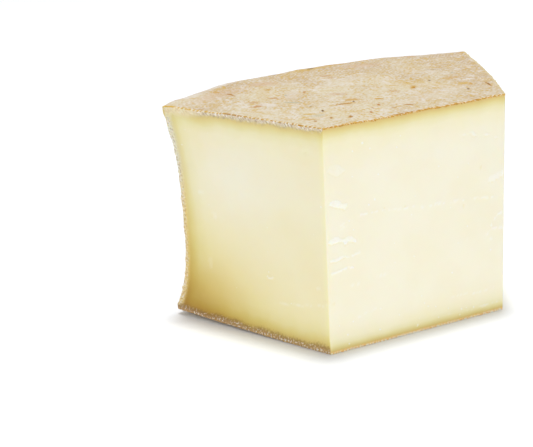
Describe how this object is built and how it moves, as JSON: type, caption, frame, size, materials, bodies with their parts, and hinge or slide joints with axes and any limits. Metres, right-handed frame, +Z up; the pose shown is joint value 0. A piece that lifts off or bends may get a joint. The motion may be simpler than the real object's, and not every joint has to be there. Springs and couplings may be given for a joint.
{
  "type": "beaufort cheese",
  "caption": "Wheel sector of a large mountain cheese with its tip cut off square: dry rind above, below and on the hollow heel, smooth cut faces between.",
  "frame": {"origin": "on the surface the piece stands on, under the middle of its box", "axes": "+Z up, through the thickness of the wheel; -Y the square cut where the tip was taken off; +Y the hollow heel; +X along the heel, from the left cut face to the right one"},
  "size_m": [0.2083, 0.1257, 0.1314],
  "materials": {
    "cheese": "satin, slightly waxy cut faces with a dry matte beige rind"
  },
  "bodies": {
    "root": {"cheese_piece": "cheese"}
  },
  "joints": []
}
